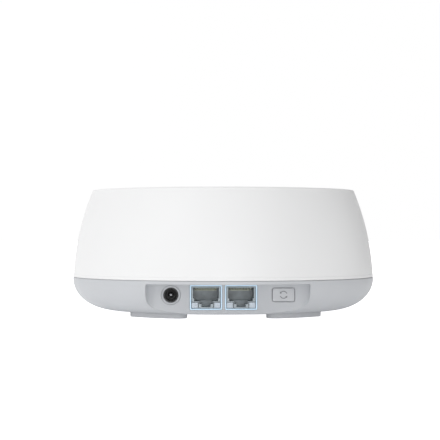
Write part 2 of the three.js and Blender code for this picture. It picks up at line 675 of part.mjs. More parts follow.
function addPowerJack() {
  const { width, height, depth } = POWER_BODY;
  const boreEnd = NOSE_FRONT + POWER_BORE_DEPTH;
  const body = boxAt(POWER_X, JACK_FRONT + depth / 2, JACK_TOP - height, width, depth, height);
  const nose = rodAlongY(POWER_NOSE, [NOSE_FRONT, JACK_FRONT + BITE], POWER_X, POWER_Z, HOLE_STEPS);
  const bore = rodAlongY(POWER_BORE, [NOSE_FRONT - OVERSHOOT, boreEnd], POWER_X, POWER_Z, HOLE_STEPS);
  const pinHoleEnds = [boreEnd - OVERSHOOT, JACK_FRONT + depth + OVERSHOOT];
  const pinHole = rodAlongY(POWER_PIN + 2 * CLEARANCE, pinHoleEnds, POWER_X, POWER_Z);
  const springTop = POWER_Z - POWER_BORE / 2 - POWER_SPRING.gap;
  const springBottom = springTop - POWER_SPRING.sheet;
  const springStart = JACK_FRONT + POWER_SPRING.start;
  const bedWidth = POWER_SPRING.width + 2 * CLEARANCE;
  const springBed = block(
    [POWER_X - bedWidth / 2, POWER_X + bedWidth / 2],
    [springStart, boreEnd],
    [springBottom - CLEARANCE, POWER_Z],
  );
  const housing = union(body, nose).subtract(union(bore, pinHole, springBed));
  piece("power_jack", housing, BLACK_PLASTIC);
  const pin = rodAlongY(POWER_PIN, [NOSE_FRONT + POWER_PIN_SETBACK, JACK_FRONT + depth], POWER_X, POWER_Z);
  piece("power_pin", pin, SCREW_STEEL);
  const spring = block(
    [POWER_X - POWER_SPRING.width / 2, POWER_X + POWER_SPRING.width / 2],
    [springStart + CLEARANCE, boreEnd - CLEARANCE],
    [springBottom, springTop],
  );
  piece("power_spring", spring, STEEL);
}

// ---- Buttons ------------------------------------------------------------------------------------

function addPairingButton() {
  const flangeFront = PANEL_BACK + CLEARANCE;
  const flangeBack = flangeFront + BUTTON_FLANGE;
  const stemEnd = flangeBack + BUTTON_STEM_LENGTH;
  const flangeWidth = BUTTON_WIDTH + 2 * BUTTON_FLANGE;
  const flangeHeight = BUTTON_HEIGHT + 2 * BUTTON_FLANGE;
  const cap = roundedRectangle(BUTTON_X, BUTTON_Z, BUTTON_WIDTH, BUTTON_HEIGHT, BUTTON_CORNER);
  const flange = roundedRectangle(BUTTON_X, BUTTON_Z, flangeWidth, flangeHeight, BUTTON_CORNER);
  const button = union(
    wallSlab(cap, [PANEL_Y - PROUD, flangeFront + BITE]),
    wallSlab(flange, [flangeFront, flangeBack]),
    rodAlongY(BUTTON_STEM, [flangeBack - BITE, stemEnd], BUTTON_X, BUTTON_Z),
  );
  piece("pairing_button", button, GREY_BASE);
  const plungerFront = stemEnd + CLEARANCE;
  const plungerBack = plungerFront + PLUNGER_LENGTH;
  const bodyFront = plungerFront + PLUNGER_TRAVEL + OVERSHOOT;
  const plunger = rodAlongY(PLUNGER_DIAMETER, [plungerFront, plungerBack], BUTTON_X, BUTTON_Z);
  piece("pairing_plunger", plunger, GOLD);
  const boreEnd = plungerBack + PLUNGER_TRAVEL + CLEARANCE;
  const body = block(
    [BUTTON_X - SWITCH_BODY / 2, BUTTON_X + SWITCH_BODY / 2],
    [bodyFront, boreEnd + SWITCH_BACK],
    [BUTTON_Z - SWITCH_BODY / 2, JACK_TOP],
  );
  const boreDiameter = PLUNGER_DIAMETER + 2 * CLEARANCE;
  const bore = rodAlongY(boreDiameter, [bodyFront - OVERSHOOT, boreEnd], BUTTON_X, BUTTON_Z);
  piece("pairing_switch", body.subtract(bore), CHIP_BLACK);
}

function addResetSwitch() {
  const bodyBottom = JACK_TOP - RESET_BODY_HEIGHT;
  const plungerBottom = bodyBottom - RESET_PLUNGER_REACH;
  const plungerTop = bodyBottom + RESET_PLUNGER_REACH;
  const body = boxAt(RESET_X, RESET_Y, bodyBottom, SWITCH_BODY, SWITCH_BODY, RESET_BODY_HEIGHT);
  const boreTop = plungerTop + RESET_TRAVEL + CLEARANCE;
  const boreDiameter = PLUNGER_DIAMETER + 2 * CLEARANCE;
  const bore = rod(boreDiameter, bodyBottom - OVERSHOOT, boreTop, RESET_X, RESET_Y);
  piece("reset_switch", body.subtract(bore), CHIP_BLACK);
  piece("reset_plunger", rod(PLUNGER_DIAMETER, plungerBottom, plungerTop, RESET_X, RESET_Y), GOLD);
}

// ---- Works on top of the board ------------------------------------------------------------------

function addProcessor() {
  const padBottom = ON_BOARD + CHIP_HEIGHT + CLEARANCE;
  const sinkBottom = padBottom + PAD_HEIGHT + CLEARANCE;
  piece("processor", boxAt(0, SINK_Y, ON_BOARD, CHIP_SIZE, CHIP_SIZE, CHIP_HEIGHT), CHIP_BLACK);
  piece("thermal_pad", boxAt(0, SINK_Y, padBottom, CHIP_SIZE, CHIP_SIZE, PAD_HEIGHT), THERMAL_GREY);
  let sink = boxAt(0, SINK_Y, sinkBottom, SINK_SIZE, SINK_SIZE, SINK_BASE);
  const pitch = (SINK_SIZE - SINK_FIN) / (SINK_FINS - 1);
  for (let i = 0; i < SINK_FINS; i += 1) {
    const x = -SINK_SIZE / 2 + SINK_FIN / 2 + i * pitch;
    const foot = sinkBottom + SINK_BASE - BITE;
    sink = sink.add(boxAt(x, SINK_Y, foot, SINK_FIN, SINK_SIZE, SINK_FIN_HEIGHT + BITE));
  }
  for (const [sideX, sideY] of [[-1, -1], [1, -1], [1, 1], [-1, 1]]) {
    const reach = SINK_SIZE / 2 - SINK_LEG_INSET;
    sink = sink.add(rod(SINK_LEG, ON_BOARD, sinkBottom + BITE, sideX * reach, SINK_Y + sideY * reach));
  }
  piece("heat_sink", sink, ALUMINIUM);
}

function addBoardParts() {
  for (const [side, sign] of [["left", -1], ["right", 1]]) {
    const { width, depth, height, sheet, x, y } = CAN;
    const outer = boxAt(sign * x, y, ON_BOARD, width, depth, height);
    const hollow = [width - 2 * sheet, depth - 2 * sheet, height + OVERSHOOT - sheet];
    const inner = boxAt(sign * x, y, ON_BOARD - OVERSHOOT, ...hollow);
    piece(`radio_shield_${side}`, outer.subtract(inner), STEEL);
  }
  for (const { side, x } of jackPlaces) {
    const { width, depth, height, y } = TRANSFORMER;
    piece(`lan_transformer_${side}`, boxAt(x, y, ON_BOARD, width, depth, height), CHIP_BLACK);
  }
  const core = roundedRectangle(INDUCTOR.x, INDUCTOR.y, INDUCTOR.size, INDUCTOR.size, INDUCTOR.corner);
  piece("power_inductor", slab(core, ON_BOARD, ON_BOARD + INDUCTOR.height), CHIP_BLACK);
  CAPACITOR.xs.forEach((x, i) => {
    const can = rod(CAPACITOR.diameter, ON_BOARD, ON_BOARD + CAPACITOR.height, x, CAPACITOR.y);
    piece(`capacitor_${i + 1}`, can, ALUMINIUM);
  });
}

// ---- Antennas -----------------------------------------------------------------------------------

// A cable along hand-chosen points.
function lead(points) {
  const route = new THREE.CatmullRomCurve3(points.map((point) => new THREE.Vector3(...point)));
  const section = new THREE.Shape();
  section.absarc(0, 0, LEAD_DIAMETER / 2, 0, Math.PI * 2);
  const options = { steps: 18, extrudePath: route, curveSegments: 4, bevelEnabled: false };
  return solid(new THREE.ExtrudeGeometry(section, options));
}

function addAntennas() {
  const slotZ = ON_BOARD + HOLDER.height - HOLDER.slotDepth;
  const clip = boxAt(0, -ANTENNA_RADIUS, ON_BOARD, HOLDER.width, HOLDER.depth, HOLDER.height);
  const slotSheet = ANTENNA_SHEET + 2 * CLEARANCE;
  const slotHeight = HOLDER.slotDepth + OVERSHOOT;
  const slot = boxAt(0, -ANTENNA_RADIUS, slotZ, ANTENNA_WIDTH + 2 * CLEARANCE, slotSheet, slotHeight);
  const holder = clip.subtract(slot);
  const boardBottom = slotZ + CLEARANCE;
  const outline = roundedRectangle(
    0,
    (boardBottom + ROOF_Z - ANTENNA_HEADROOM) / 2,
    ANTENNA_WIDTH,
    ROOF_Z - ANTENNA_HEADROOM - boardBottom,
    ANTENNA_CORNER,
  );
  const y = [-ANTENNA_RADIUS - ANTENNA_SHEET / 2, -ANTENNA_RADIUS + ANTENNA_SHEET / 2];
  const antenna = wallSlab(outline, y);
  for (const [side, turn] of [["rear", 0], ["right", 90], ["front", 180], ["left", 270]]) {
    const place = new THREE.Group();
    place.rotation.z = radians(turn);
    piece(`antenna_${side}`, antenna, BOARD_GREEN, place);
    piece(`antenna_holder_${side}`, holder, HOLDER_NATURAL, place);
    router.add(place);
  }
}

function addLeads() {
  const low = ON_BOARD + LEAD_DIAMETER / 2 + LEAD_LIFT;
  const high = ON_BOARD + HOLDER.height + LEAD_TAP;
  const tap = ANTENNA_RADIUS - ANTENNA_SHEET / 2 - LEAD_DIAMETER / 2 - CLEARANCE;
  const clear = ANTENNA_RADIUS - HOLDER.depth / 2 - LEAD_DIAMETER;
  const canEdge = CAN.x + CAN.width / 2 + LEAD_DIAMETER;
  const canFront = CAN.y + CAN.depth / 2 + LEAD_DIAMETER;
  const canRear = CAN.y - CAN.depth / 2 - LEAD_DIAMETER;
  for (const [side, sign] of [["right", 1], ["left", -1]]) {
    const points = [
      [sign * tap, 6, high],
      [sign * clear, 4, high - 2],
      [sign * clear, 1, low + 1],
      [sign * canEdge, -4, low],
    ];
    piece(`antenna_lead_${side}`, lead(points), LEAD_GREY);
  }
  const front = [
    [6, tap, high],
    [8, clear, high - 2],
    [14, clear - 5, low],
    [26, 32, low],
    [33, 16, low],
    [33, canFront, low],
  ];
  piece("antenna_lead_front", lead(front), LEAD_GREY);
  const rear = [
    [-6, -tap, high],
    [-8, -clear, high - 2],
    [-14, -clear + 5, low],
    [-21.5, -33, low],
    [-22.5, -22, low],
    [-27, canRear - 0.5, low],
  ];
  piece("antenna_lead_rear", lead(rear), LEAD_GREY);
}

// ---- Status light -------------------------------------------------------------------------------

function addStatusLight() {
  const z = BOARD_TOP + LIGHT_RISE;
  const ledY = BOARD_RADIUS - LED.depth - 1;
  piece("status_led", boxAt(0, ledY, ON_BOARD, LED.width, LED.depth, LED.height), LIGHT_WINDOW);
  const start = ledY + LED.depth / 2 + CLEARANCE;
  const collarEnd = shellRadius(z) - SHELL_WALL - CLEARANCE - LIGHT_COLLAR.gap;
  const pipe = union(
    rodAlongY(LIGHT_DIAMETER, [start, shellRadius(z) - LIGHT_COLLAR.gap / 2], 0, z),
    rodAlongY(LIGHT_COLLAR.diameter, [collarEnd - LIGHT_COLLAR.length, collarEnd], 0, z),
  );
  piece("light_pipe", pipe, LIGHT_WINDOW);
}

addCase();
addBoard();
addJacks();
addPowerJack();
addPairingButton();
addResetSwitch();
addProcessor();
addBoardParts();
addAntennas();
addLeads();
addStatusLight();

export default router;
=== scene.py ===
# A round wireless router on a pale floor, seen from behind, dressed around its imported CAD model.
import json
import math

import bmesh
import bpy
from mathutils import Matrix, Vector


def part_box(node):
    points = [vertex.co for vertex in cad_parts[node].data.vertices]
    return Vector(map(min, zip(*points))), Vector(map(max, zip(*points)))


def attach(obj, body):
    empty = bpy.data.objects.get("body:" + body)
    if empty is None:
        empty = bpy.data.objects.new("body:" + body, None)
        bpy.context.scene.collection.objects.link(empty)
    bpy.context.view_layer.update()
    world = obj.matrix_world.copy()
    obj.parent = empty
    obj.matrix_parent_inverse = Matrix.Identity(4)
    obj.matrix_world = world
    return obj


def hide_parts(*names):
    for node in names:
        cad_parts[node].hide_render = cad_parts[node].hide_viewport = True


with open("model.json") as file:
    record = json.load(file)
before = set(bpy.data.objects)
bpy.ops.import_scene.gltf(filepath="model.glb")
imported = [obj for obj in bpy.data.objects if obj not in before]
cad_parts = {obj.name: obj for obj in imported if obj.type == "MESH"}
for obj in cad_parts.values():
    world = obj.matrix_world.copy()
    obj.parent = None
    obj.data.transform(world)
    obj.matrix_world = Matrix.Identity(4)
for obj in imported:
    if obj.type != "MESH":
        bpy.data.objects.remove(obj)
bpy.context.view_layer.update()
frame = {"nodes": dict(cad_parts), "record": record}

MM = 0.001

# ---- Sizes in metres, from the frame where it gives them ----------------------------------------------

BASE_LOW, BASE_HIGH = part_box("base_housing")
BUTTON_LOW, BUTTON_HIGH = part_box("pairing_button")
LENS_LOW, LENS_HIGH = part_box("light_pipe")
PORT_BOXES = {side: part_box(f"port_frame_{side}") for side in ("left", "right")}
PIN_LOW, PIN_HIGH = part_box("power_pin")

ROUND = 240  # facets around the case
FINE = 40  # facets around a small round thing
SPILL = 2 * MM  # how far a cutting solid passes the wall that it cuts
WALL = 2.2 * MM
GAP = 0.3 * MM
SEAM_LINE = 0.06 * MM  # parting line between shell and base
SEAM_CHAMFER = 0.25 * MM  # along both edges of that line
BUTTON_LINE = 0.16 * MM  # parting line round the button

CASE_RADIUS = BASE_HIGH.x
CASE_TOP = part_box("top_shell")[1].z
UNDERSIDE_Z = BASE_LOW.z
TONGUE_HEIGHT = 2 * MM
SEAM_Z = BASE_HIGH.z - TONGUE_HEIGHT

SHELL_INSET = 0.1 * MM
SIDE_DRAFT = 0.045
SIDE_BOW_RADIUS = 123 * MM
SKIRT_HEIGHT = 1.5 * MM  # band round the foot of the shell
SKIRT_STEP = 0.09 * MM
RIM_RADIUS = 1 * MM
RIM_LAND = 1.6 * MM
DISH_DEPTH = 1.4 * MM
DISH_STEPS = 24
LENS_RADIUS = 1.4 * MM
LENS_CLEARANCE = 0.1 * MM
LENS_TIP = ((0.35 * MM, LENS_RADIUS), (0.12 * MM, 1.2 * MM), (0, 0.7 * MM))  # depth behind the tip, radius

BASE_TURN = 19.5 * MM
BASE_RIM_HEIGHT = 0.9 * MM
TONGUE_GAP = 0.4 * MM
TONGUE_WALL = 1.2 * MM
TONGUE_ROOT = 2.1 * MM

PANEL_Y = PORT_BOXES["left"][0].y + 0.1 * MM
PANEL_WALL = 2 * MM
PANEL_SETBACK = PANEL_Y + CASE_RADIUS
RECESS_HALF_WIDTH = 37.2 * MM
RECESS_FILLET = 5 * MM
RECESS_TOP = SEAM_Z - 1.6 * MM
RECESS_CEILING_FILLET = 0.8 * MM
RECESS_REACH = 10 * MM  # how far the recess's tools start below the floor
LINING_INSET = WALL / 4
LINING_DROP = 0.05 * MM  # from the rim of the base to the top of the wall behind the recess
LINING_STEPS = 120

FOOT_WIDTH = 9 * MM
FOOT_RADIUS = CASE_RADIUS - BASE_TURN + 3 * MM - FOOT_WIDTH / 2
FOOT_MIDDLE_ANGLE = 37.6
FOOT_SPAN_ANGLE = 24.4
FOOT_PLACES = {
    "rear_left": -FOOT_MIDDLE_ANGLE,
    "rear_right": FOOT_MIDDLE_ANGLE,
    "front_right": 180 - FOOT_MIDDLE_ANGLE,
    "front_left": 180 + FOOT_MIDDLE_ANGLE,
}

FOOT_ROWS = ((0, -0.5 * MM), (0.15 * MM, -0.15 * MM), (0.5 * MM, 0))  # height, growth of the outline
FOOT_POCKET_GAP = 0.2 * MM
FOOT_POCKET_DEPTH = 0.9 * MM

FRAME_LINE = 0.6 * MM
FRAME_EDGE = 0.15 * MM
FRAME_CLEARANCE = 0.06 * MM
FRAME_HOLE_CORNER = 0.75 * MM

BUTTON_FLANGE = 1 * MM  # reach and thickness of the flange that keeps the button in
BUTTON_CORNER = 0.9 * MM
BUTTON_HOLE_CORNER = 1 * MM
BUTTON_SHANK_INSET = 2.2 * MM
# the button's rounded face: inset, depth behind the face
BUTTON_EDGE = ((0.45 * MM, 0), (0.2 * MM, 0.07 * MM), (0.05 * MM, 0.22 * MM), (0, 0.45 * MM))
MARK_RADIUS = 1.6 * MM
MARK_LINE = 0.38 * MM
MARK_STARTS = (20, 200)
MARK_SWEEP = 115
MARK_PROUD = 0.04 * MM
MARK_SUNK = 0.05 * MM

POWER_HOLE_RADIUS = 3.42 * MM
POWER_LIP_RADIUS = 3.75 * MM
POWER_LIP_DEPTHS = (0.04 * MM, 0.3 * MM)
POWER_GROOVE = (4.28 * MM, 4.5 * MM)  # inner and outer radius of the line pressed round the inlet
POWER_GROOVE_DEPTH = 0.3 * MM
POWER_STEPS = 64

BOARD_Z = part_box("main_board")[0].z
POST_JOINT_Z = BOARD_Z - 0.8 * MM
SEAT_Z = UNDERSIDE_Z + 4.6 * MM
SLEEVE_RADIUS = 4.8 * MM
POST_RADIUS = 3.5 * MM
CASE_SCREW_BORE = 1.75 * MM
CASE_SCREW_HEAD_BORE = 3.1 * MM
STANDOFF_RADIUS = 3.2 * MM
BOARD_SCREW_BORE = 1.45 * MM
PINHOLE_RADIUS = 1 * MM
PINHOLE_TUBE_RADIUS = 2.5 * MM
PINHOLE_TUBE_TOP = UNDERSIDE_Z + 7 * MM
COLUMN_BITE = 0.1 * MM  # how far the columns sink into the floor of the base
VENT_COUNT = 9
VENT_PITCH = 7 * MM
VENT_WIDTH = 2 * MM
VENT_LENGTH = 20 * MM
VENT_CORNER = 0.49 * VENT_WIDTH
VENT_Y = 26 * MM
BELOW = -1 * MM  # where what is sunk into the underside starts
PILOT_DEPTH = 5 * MM
LABEL_BED_GROWTH = 1 * MM
LABEL_BED_CORNER = 2 * MM

SHEEN_RANGE = 0.05  # how far a finish's roughness wanders
NOISE_RANGE = (0.3, 0.7)  # where nearly all values of a noise texture lie


# ---- Meshes -------------------------------------------------------------------------------------------


def new_object(name, data):
    obj = bpy.data.objects.new(name, data)
    bpy.context.scene.collection.objects.link(obj)
    return obj


def from_bmesh(name, bm):
    bmesh.ops.recalc_face_normals(bm, faces=bm.faces)
    mesh = bpy.data.meshes.new(name)
    bm.to_mesh(mesh)
    bm.free()
    return new_object(name, mesh)


def settle(obj):
    """Turns what obj's modifiers make into its own mesh."""
    depsgraph = bpy.context.evaluated_depsgraph_get()
    mesh = bpy.data.meshes.new_from_object(obj.evaluated_get(depsgraph))
    obj.modifiers.clear()
    obj.data = mesh
    return obj


def combine(target, other, operation="DIFFERENCE"):
    """Cuts other out of target, or joins or intersects them; other is used up."""
    modifier = target.modifiers.new(operation, "BOOLEAN")
    modifier.object = other
    modifier.operation = operation
    modifier.solver = "EXACT"
    settle(target)
    bpy.data.objects.remove(other)
    return target


def round_edges(obj, radius, segments=3, angle=30):
    modifier = obj.modifiers.new("round_edges", "BEVEL")
    modifier.width = radius
    modifier.segments = segments
    modifier.limit_method = "ANGLE"
    modifier.angle_limit = math.radians(angle)
    return modifier


def smooth(obj, angle=32):
    obj.data.shade_smooth()
    obj.data.set_sharp_from_angle(angle=math.radians(angle))
    return obj


def lathe(name, profile, steps=ROUND):
    """A solid turned about Z from a loop of (radius, z) points, or from a line that starts and ends on the
    axis."""
    bm = bmesh.new()
    rings = []
    for radius, z in profile:
        if radius == 0:
            rings.append([bm.verts.new((0, 0, z))])
            continue
        turns = [2 * math.pi * i / steps for i in range(steps)]
        rings.append([bm.verts.new((radius * math.cos(t), radius * math.sin(t), z)) for t in turns])
    for lower, upper in zip(rings, rings[1:] + rings[:1]):
        for i in range(steps if len(lower) + len(upper) > 2 else 0):
            j = (i + 1) % steps
            corners = [row[k % len(row)] for row, k in ((lower, i), (lower, j), (upper, j), (upper, i))]
            bm.faces.new(list(dict.fromkeys(corners)))
    return from_bmesh(name, bm)


def loft(name, loops, ring=False):
    """A closed solid through loops of points that match one to one. It is capped at both ends, or, as a ring,
    its last loop meets the first."""
    bm = bmesh.new()
    rows = [[bm.verts.new(point) for point in loop] for loop in loops]
    for lower, upper in zip(rows, rows[1:] + rows[:1] if ring else rows[1:]):
        for i in range(len(lower)):
            j = (i + 1) % len(lower)
            bm.faces.new((lower[i], lower[j], upper[j], upper[i]))
    if not ring:
        bm.faces.new(list(reversed(rows[0])))
        bm.faces.new(rows[-1])
    return from_bmesh(name, bm)


def arc(x, y, radius, start, end, steps):
    """Points on an arc, from one angle to another in degrees."""
    turns = [math.radians(start + (end - start) * i / steps) for i in range(steps + 1)]
    return [(x + radius * math.cos(t), y + radius * math.sin(t)) for t in turns]


def rounded_rectangle(x, y, width, height, corner, steps=6):
    right, left = x + width / 2 - corner, x - width / 2 + corner
    top, bottom = y + height / 2 - corner, y - height / 2 + corner
    return (
        arc(right, bottom, corner, -90, 0, steps)
        + arc(right, top, corner, 0, 90, steps)
        + arc(left, top, corner, 90, 180, steps)
        + arc(left, bottom, corner, 180, 270, steps)
    )


def on_floor(outline, z):
    return [(x, y, z) for x, y in outline]


def on_wall(outline, y):
    return [(x, y, z) for x, z in outline]


AXIS_TURNS = {"Y": Matrix.Rotation(-math.pi / 2, 4, "X"), "Z": Matrix()}


def rod(name, axis, start, stations, steps=FINE):
    """A solid turned about Y or Z through start, from (distance along the axis, radius) stations."""
    side = [(radius, along) for along, radius in stations]
    profile = [(0, stations[0][0])] + side + [(0, stations[-1][0])]
    obj = lathe(name, profile, steps)
    obj.data.transform(Matrix.Translation(Vector(start)) @ AXIS_TURNS[axis])
    return obj


def upright(name, place, stations):
    """A solid turned about the upright axis through place, from (height, radius) stations."""
    return rod(name, "Z", (place.x, place.y, 0), stations)


def column(name, place, low, high, radius):
    return upright(name, place, [(low, radius), (high, radius)])


def cluster(name, objects):
    """Separate solids as one object; the objects are used up."""
    bm = bmesh.new()
    for obj in objects:
        bm.from_mesh(obj.data)
        bpy.data.objects.remove(obj)
    return from_bmesh(name, bm)


def middle_and_size(node):
    low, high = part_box(node)
    return (low + high) / 2, high - low


def middle_of(node):
    return middle_and_size(node)[0]


# ---- Materials ----------------------------------------------------------------------------------------


def surface(name, colour, roughness, metallic=0.0, grain=(0.3, 0.02), cloud=(14, 0.02), edge=0, **sockets):
    """A procedural finish. grain is its texture's size and height in millimetres. cloud is the size in
    millimetres and the strength of its slow colour change. edge is the rounding, in millimetres, that its
    edges are shaded with. sockets are other values of its shader."""
    material = bpy.data.materials.new(name)
    material.use_nodes = True
    tree = material.node_tree
    shader = tree.nodes["Principled BSDF"]
    place = tree.nodes.new("ShaderNodeTexCoord")

    def noise(size, detail):
        node = tree.nodes.new("ShaderNodeTexNoise")
        node.inputs["Scale"].default_value = 1 / (size * MM)
        node.inputs["Detail"].default_value = detail
        tree.links.new(place.outputs["Object"], node.inputs["Vector"])
        return node.outputs["Fac"]

    def mapped(source, low, high):
        node = tree.nodes.new("ShaderNodeMapRange")
        node.inputs["From Min"].default_value, node.inputs["From Max"].default_value = NOISE_RANGE
        node.inputs["To Min"].default_value = low
        node.inputs["To Max"].default_value = high
        tree.links.new(source, node.inputs["Value"])
        return node.outputs["Result"]

    cloud_size, cloud_strength = cloud
    mix = tree.nodes.new("ShaderNodeMix")
    mix.data_type = "RGBA"
    dark = [channel * (1 - cloud_strength) for channel in colour]
    light = [min(1, channel * (1 + cloud_strength)) for channel in colour]
    mix.inputs["A"].default_value = (*dark, 1)
    mix.inputs["B"].default_value = (*light, 1)
    tree.links.new(mapped(noise(cloud_size, 3), 0, 1), mix.inputs["Factor"])
    tree.links.new(mix.outputs["Result"], shader.inputs["Base Color"])

    low, high = max(0.02, roughness - SHEEN_RANGE), min(1, roughness + SHEEN_RANGE)
    tree.links.new(mapped(noise(cloud_size / 3, 4), low, high), shader.inputs["Roughness"])

    grain_size, grain_height = grain
    bump = tree.nodes.new("ShaderNodeBump")
    bump.inputs["Strength"].default_value = 1
    bump.inputs["Distance"].default_value = grain_height * MM
    tree.links.new(noise(grain_size, 2), bump.inputs["Height"])
    tree.links.new(bump.outputs["Normal"], shader.inputs["Normal"])
    if edge:
        bevel = tree.nodes.new("ShaderNodeBevel")
        bevel.inputs["Radius"].default_value = edge * MM
        tree.links.new(bevel.outputs["Normal"], bump.inputs["Normal"])

    shader.inputs["Metallic"].default_value = metallic
    for socket, value in sockets.items():
        shader.inputs[socket.replace("_", " ")].default_value = value
    return material


SURFACES = {
    "shell_white": surface(
        "satin_white", (0.775, 0.777, 0.78), 0.42,
        grain=(0.22, 0.006), cloud=(30, 0.004), edge=0.3),
    "base_grey": surface(
        "satin_grey", (0.5, 0.513, 0.535), 0.45,
        grain=(0.25, 0.008), cloud=(20, 0.01), edge=0.4),
    "button_grey": surface("button_grey", (0.53, 0.54, 0.56), 0.42, grain=(0.2, 0.006), cloud=(8, 0.01)),
    "foot_rubber": surface(
        "foot_rubber", (0.53, 0.54, 0.56), 0.75,
        grain=(0.12, 0.015), cloud=(4, 0.03)),
    "jack_black": surface(
        "jack_black", (0.013, 0.013, 0.0135), 0.45,
        grain=(0.15, 0.01), cloud=(3, 0.15)),
    "socket_slate": surface(
        "socket_slate", (0.38, 0.43, 0.46), 0.35,
        grain=(0.15, 0.01), cloud=(3, 0.15)),
    # port_blue: a pale-blue trim that also gives off a faint painted glow through its emission; the frames
    # are no lamp, the emission only makes them shine blue
    "port_blue": surface(
        "port_blue", (0.62, 0.79, 0.93), 0.3,
        grain=(0.4, 0.002), cloud=(5, 0.03), Emission_Color=(0.6, 0.82, 1, 1), Emission_Strength=0.12),
    "light_window": surface(
        "light_window", (0.52, 0.58, 0.64), 0.28,
        grain=(0.3, 0.004), cloud=(1.5, 0.06)),
    "sheet_steel": surface(
        "sheet_steel", (0.6, 0.61, 0.62), 0.34,
        metallic=1.0, grain=(0.1, 0.003), cloud=(4, 0.08)),
    "gold_contact": surface(
        "gold_contact", (0.33, 0.34, 0.28), 0.4,
        metallic=1.0, grain=(0.1, 0.001), cloud=(1, 0.05)),
    "screw_steel": surface(
        "screw_steel", (0.45, 0.46, 0.47), 0.48,
        metallic=1.0, grain=(0.1, 0.003), cloud=(2, 0.1)),
    "board_green": surface("board_green", (0.012, 0.1, 0.045), 0.4, grain=(0.6, 0.01), cloud=(3, 0.25)),
    "sink_aluminium": surface(
        "sink_aluminium", (0.55, 0.56, 0.57), 0.4,
        metallic=1.0, grain=(0.2, 0.004), cloud=(6, 0.06)),
    "thermal_grey": surface("thermal_grey", (0.32, 0.36, 0.41), 0.9, grain=(0.3, 0.03), cloud=(2, 0.06)),
    "chip_black": surface("chip_black", (0.018, 0.018, 0.02), 0.55, grain=(0.1, 0.01), cloud=(2, 0.15)),
    "holder_natural": surface(
        "holder_natural", (0.74, 0.7, 0.6), 0.5,
        grain=(0.3, 0.01), cloud=(4, 0.03)),
    "lead_grey": surface("lead_grey", (0.05, 0.052, 0.056), 0.45, grain=(0.2, 0.01), cloud=(2, 0.1)),
    "label_silver": surface(
        "label_silver", (0.66, 0.665, 0.67), 0.4,
        grain=(0.08, 0.004), cloud=(5, 0.02)),
    "mark_grey": surface("mark_grey", (0.2, 0.205, 0.215), 0.5, grain=(0.1, 0.004), cloud=(1, 0.05)),
}
SLOTS = {part["node"]: part["material_slot"] for part in frame["record"]["subparts"]}


def paint(obj, slot):
    if obj.material_slots:
        obj.material_slots[0].material = SURFACES[slot]
    else:
        obj.data.materials.append(SURFACES[slot])


def stand_in(obj, node, body="root"):
    """obj is the finished form of a CAD node: it takes its finish, its body and its place."""
    paint(obj, SLOTS[node])
    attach(obj, body)
    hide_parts(node)


def paint_cad_nodes():
    for name, obj in frame["nodes"].items():
        paint(obj, SLOTS[name])


CASE_SCREWS = [middle_of(f"case_screw_{side}") for side in FOOT_PLACES]
BOARD_SCREWS = [middle_of(f"board_screw_{i}") for i in (1, 2, 3, 4)]
RESET = middle_of("reset_plunger")


# ---- Shell --------------------------------------------------------------------------------------------


def shell_radius(z):
    rise = z - SEAM_Z
    bow = SIDE_BOW_RADIUS - math.sqrt(SIDE_BOW_RADIUS**2 - rise**2)
    return CASE_RADIUS - SHELL_INSET - SIDE_DRAFT * rise - bow


def shell_side(inset, low, high, steps):
    heights = [low + (high - low) * i / steps for i in range(steps + 1)]
    return [(shell_radius(z) - inset, z) for z in heights]


def shell_profile(roof):
    """Half the shell's section, from the foot of its wall up, over the top and back down the inside."""
    bottom = SEAM_Z + SEAM_LINE / 2
    skirt_top = bottom + SKIRT_HEIGHT
    foot_radius = shell_radius(bottom)
    skirt = [
        (foot_radius - WALL, bottom),
        (foot_radius - SEAM_CHAMFER, bottom),
        (foot_radius + SKIRT_STEP - SEAM_CHAMFER / 4, bottom + SEAM_CHAMFER / 2),
        (foot_radius + SKIRT_STEP, bottom + SEAM_CHAMFER),
        (shell_radius(skirt_top) + SKIRT_STEP, skirt_top - SKIRT_STEP),
    ]
    edge = CASE_TOP - RIM_RADIUS
    edge_radius = shell_radius(edge) - RIM_RADIUS
    side = shell_side(0, skirt_top, edge, 40)
    rim = arc(edge_radius, edge, RIM_RADIUS, 0, 90, 8)[1:]
    dish_radius = edge_radius - RIM_LAND
    dish = [(dish_radius, CASE_TOP)]
    for i in range(1, DISH_STEPS):
        share = i / DISH_STEPS
        drop = DISH_DEPTH * (1 - math.cos(math.pi * share)) / 2
        dish.append((dish_radius * (1 - share), CASE_TOP - drop))
    axis = [(0, CASE_TOP - DISH_DEPTH), (0, roof)]
    inside = shell_side(WALL, bottom, roof, 12)[:0:-1]
    return skirt + side + rim + dish + axis + inside


def make_shell():
    roof = CASE_TOP - DISH_DEPTH - WALL
    shell = lathe("top_shell_fine", shell_profile(roof))
    hole_radius = LENS_RADIUS + LENS_CLEARANCE
    middle = middle_of("light_pipe")
    hole_reach = [(CASE_RADIUS / 2, hole_radius), (CASE_RADIUS * 1.1, hole_radius)]
    combine(shell, rod("light_hole", "Y", (0, 0, middle.z), hole_reach))
    posts = [column("post", at, POST_JOINT_Z + GAP, roof + WALL / 2, POST_RADIUS) for at in CASE_SCREWS]
    combine(shell, cluster("posts", posts), "UNION")
    bore_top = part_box("case_screw_rear_left")[1].z + GAP
    bores = [column("bore", at, 0, bore_top, CASE_SCREW_BORE) for at in CASE_SCREWS]
    combine(shell, cluster("post_bores", bores))
    smooth(shell, 28)
    stand_in(shell, "top_shell")

    tip = [(LENS_HIGH.y - depth, radius) for depth, radius in LENS_TIP]
    lens = rod("light_lens", "Y", (0, 0, middle.z), [(LENS_LOW.y, LENS_RADIUS)] + tip)
    smooth(lens)
    stand_in(lens, "light_pipe")


# ---- Base ---------------------------------------------------------------------------------------------


